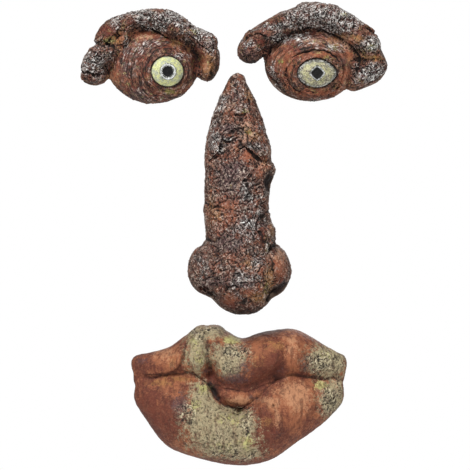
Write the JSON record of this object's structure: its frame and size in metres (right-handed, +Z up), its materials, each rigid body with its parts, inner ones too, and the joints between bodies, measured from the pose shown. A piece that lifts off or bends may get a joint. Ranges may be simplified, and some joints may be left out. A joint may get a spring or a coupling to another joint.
{
  "type": "tree face sculpture",
  "caption": "Hanging garden ornament of separate resin castings: browed eyes, a long nose with nostrils and a pair of lips that make a bark-skinned face on a trunk.",
  "frame": {"origin": "on the flat back of the nose, at the middle of the nose's height", "axes": "+Z up, +Y out of the flat backs into the trunk or wall, so the face looks along -Y; the eyes are above the nose and the lips below it"},
  "size_m": [0.2153, 0.0484, 0.3255],
  "materials": {
    "painted_resin": "matt stone-filled resin with a bark texture, painted reddish brown with dark hollows, pale dry-brushed ridges, yellow-green irises and lichen patches"
  },
  "bodies": {
    "root": {"left_eye": "painted_resin", "right_eye": "painted_resin", "nose": "painted_resin", "lips": "painted_resin"}
  },
  "joints": []
}
